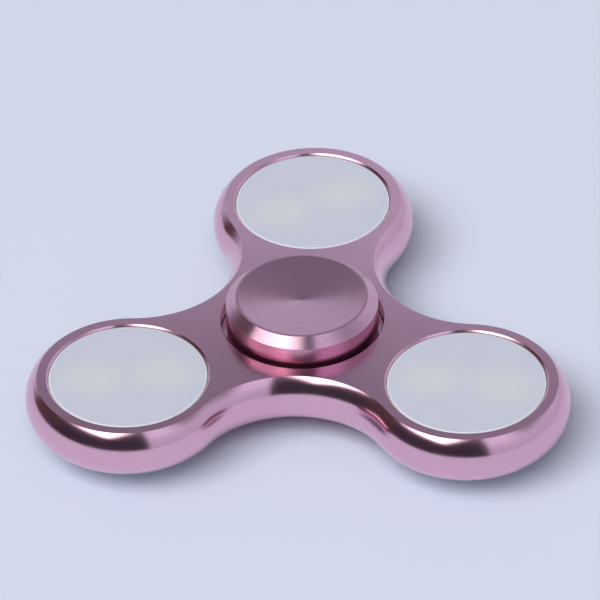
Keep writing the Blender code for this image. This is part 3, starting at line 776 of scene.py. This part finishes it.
def make_world():
    """The room that the metal mirrors: bright at the right, pale behind, dark in front and at the left.
    Diffuse rays meet one even fill instead."""
    world = bpy.data.worlds.new("studio")
    bpy.context.scene.world = world
    world.use_nodes = True
    n = Nodes(world.node_tree)
    direction = n.add("ShaderNodeTexCoord").outputs["Generated"]
    height = n.dot(direction, (0, 0, 1))
    to_right = n.dot(direction, tuple(CAMERA_SIDE))
    to_camera = n.dot(direction, tuple(CAMERA_FRONT))
    bearing = n.math("ARCTAN2", to_right, to_camera)
    elevation = n.math("DIVIDE", n.math("ARCSINE", height), math.pi / 2, clamp=True)
    right = n.ramp(elevation, [
        (0.0, (0.54, 0.56, 0.68)),
        (0.27, (0.62, 0.65, 0.80)),
        (0.40, (0.78, 0.81, 0.98)),
        (0.62, (0.84, 0.88, 1.05)),
        (1.0, (0.30, 0.31, 0.38)),
    ])
    behind = n.ramp(elevation, [
        (0.0, (0.54, 0.56, 0.68)),
        (0.27, (0.60, 0.63, 0.77)),
        (0.44, (0.32, 0.33, 0.39)),
        (0.62, (0.19, 0.19, 0.24)),
        (1.0, (0.20, 0.20, 0.25)),
    ])
    at_right = n.math("MULTIPLY", n.step(bearing, 0.0, 1 * DEGREE),
                      n.step(bearing, 48 * DEGREE, 80 * DEGREE, 1.0, 0.0))
    pale = n.mix(at_right, behind, right)
    shade = n.mix(n.step(bearing, -110 * DEGREE, -70 * DEGREE), (0.085, 0.050, 0.050), (0.040, 0.036, 0.048))
    dark = n.ramp(elevation, [
        (0.42, (0.0, 0.0, 0.0)),
        (0.66, (0.05, 0.045, 0.05)),
        (0.80, (0.36, 0.37, 0.44)),
        (1.0, (0.55, 0.58, 0.69)),
    ])
    dark = n.mix(1.0, shade, dark, "ADD")
    in_dark = n.math("MULTIPLY", n.step(bearing, -140 * DEGREE, -116 * DEGREE),
                     n.step(bearing, 19.5 * DEGREE, 21.5 * DEGREE, 1.0, 0.0))
    room = n.add("ShaderNodeBackground")
    n.feed(room.inputs["Color"], n.mix(in_dark, pale, dark))
    fill = n.add("ShaderNodeBackground")
    fill.inputs["Color"].default_value = (*ROOM_FILL, 1)
    chosen = n.add("ShaderNodeMixShader")
    n.feed(chosen.inputs[0], n.add("ShaderNodeLightPath").outputs["Is Diffuse Ray"])
    n.feed(chosen.inputs[1], room.outputs[0])
    n.feed(chosen.inputs[2], fill.outputs[0])
    output = n.add("ShaderNodeOutputWorld")
    n.feed(output.inputs["Surface"], chosen.outputs[0])


def heading(bearing):
    """The level direction at a bearing from the camera line, positive to the right."""
    return CAMERA_SIDE * math.sin(bearing) + CAMERA_FRONT * math.cos(bearing)


def facing(bearing, elevation):
    """The direction at a bearing and elevation, then the level and the uphill direction square to it."""
    outwards = heading(bearing) * math.cos(elevation) + Vector((0, 0, math.sin(elevation)))
    across = heading(bearing + math.pi / 2)
    uphill = Vector((0, 0, math.cos(elevation))) - heading(bearing) * math.sin(elevation)
    return outwards, across, uphill


def make_key_light():
    """One broad light at the left front lights the set. The metal mirrors the softbox in its place."""
    reach, width, height = 5.0, 5.1, 2.7
    outwards, across, uphill = facing(-31 * DEGREE, 54 * DEGREE)
    light = bpy.data.lights.new("key", "AREA")
    light.shape = "RECTANGLE"
    light.size = width
    light.size_y = height
    light.energy = KEY_RADIANCE * math.pi * width * height
    key = bpy.data.objects.new("key", light)
    bpy.context.scene.collection.objects.link(key)
    turn = Matrix((across, uphill, outwards)).transposed()
    key.matrix_world = Matrix.Translation(outwards * reach) @ turn.to_4x4()
    key.visible_glossy = False


def add_card(name, corners):
    """A flat shape that shines only into the metal. Returns its node builder and its emission node."""
    mesh = bpy.data.meshes.new(name)
    mesh.from_pydata(corners, [], [(0, 1, 2, 3)])
    card = bpy.data.objects.new(name, mesh)
    bpy.context.scene.collection.objects.link(card)
    material = bpy.data.materials.new(name)
    material.use_nodes = True
    n = Nodes(material.node_tree)
    glow = n.add("ShaderNodeEmission")
    output = n.add("ShaderNodeOutputMaterial")
    n.feed(output.inputs["Surface"], glow.outputs[0])
    mesh.materials.append(material)
    card.visible_camera = False
    card.visible_diffuse = False
    card.visible_shadow = False
    return n, glow


def make_softbox():
    """A soft-edged light high over the left front. Edges and fades are shares of its reach."""
    reach = 0.6
    left, right, low, high = -0.45, 0.66, -0.33, 0.35
    left_fade, right_fade, low_fade = 0.1, 0.26, 0.11
    outwards, across, uphill = facing(-62 * DEGREE, 58 * DEGREE)
    corners = [(outwards + across * u + uphill * v) * reach
               for u, v in ((left, low), (right, low), (right, high), (left, high))]
    n, glow = add_card("softbox", corners)
    u = n.math("DIVIDE", n.dot(n.place(), tuple(across)), reach)
    v = n.math("DIVIDE", n.dot(n.place(), tuple(uphill)), reach)
    ends = n.math("MULTIPLY", n.step(u, left, left + left_fade),
                  n.step(u, right - right_fade, right, 1.0, 0.0))
    rise = n.step(v, low, low + low_fade, 0.0, SOFTBOX_RADIANCE)
    n.feed(glow.inputs["Strength"], n.math("MULTIPLY", ends, rise))


def make_back_card():
    """A low pale card behind the spinner: bright at its foot, dim above and stronger to the right."""
    away, half_width, top = 0.15, 0.11, 0.60
    centre = -CAMERA_FRONT * away
    corners = [centre + CAMERA_SIDE * side * half_width + Vector((0, 0, z))
               for side, z in ((-1, 0), (1, 0), (1, top), (-1, top))]
    n, glow = add_card("back_card", corners)
    height = n.dot(n.place(), (0, 0, 1))
    side = n.dot(n.place(), tuple(CAMERA_SIDE))
    n.feed(glow.inputs["Color"], n.mix(n.step(height, CARD_FADE[0], CARD_FADE[1]), CARD_LOW, CARD_HIGH))
    n.feed(glow.inputs["Strength"], n.step(side, 3 * MM, 22 * MM, 1.0, 1.18))


def make_camera():
    camera = bpy.data.objects.new("camera", bpy.data.cameras.new("camera"))
    camera.data.lens = CAMERA_LENS
    camera.data.clip_start = 0.05
    bpy.context.scene.collection.objects.link(camera)
    back = CAMERA_FRONT * math.cos(CAMERA_ELEVATION) + Vector((0, 0, math.sin(CAMERA_ELEVATION)))
    up = back.cross(CAMERA_SIDE)
    axis_x = CAMERA_SIDE * math.cos(CAMERA_ROLL) + up * math.sin(CAMERA_ROLL)
    axis_y = up * math.cos(CAMERA_ROLL) - CAMERA_SIDE * math.sin(CAMERA_ROLL)
    turn = Matrix((axis_x, axis_y, back)).transposed()
    camera.matrix_world = Matrix.Translation(CAMERA_TARGET + back * CAMERA_DISTANCE) @ turn.to_4x4()
    bpy.context.scene.camera = camera


dress_nodes()
make_plate()
make_caps()
make_lenses()
make_covers()
make_floor()
make_world()
make_key_light()
make_softbox()
make_back_card()
make_camera()
bpy.context.scene.view_settings.view_transform = "Standard"
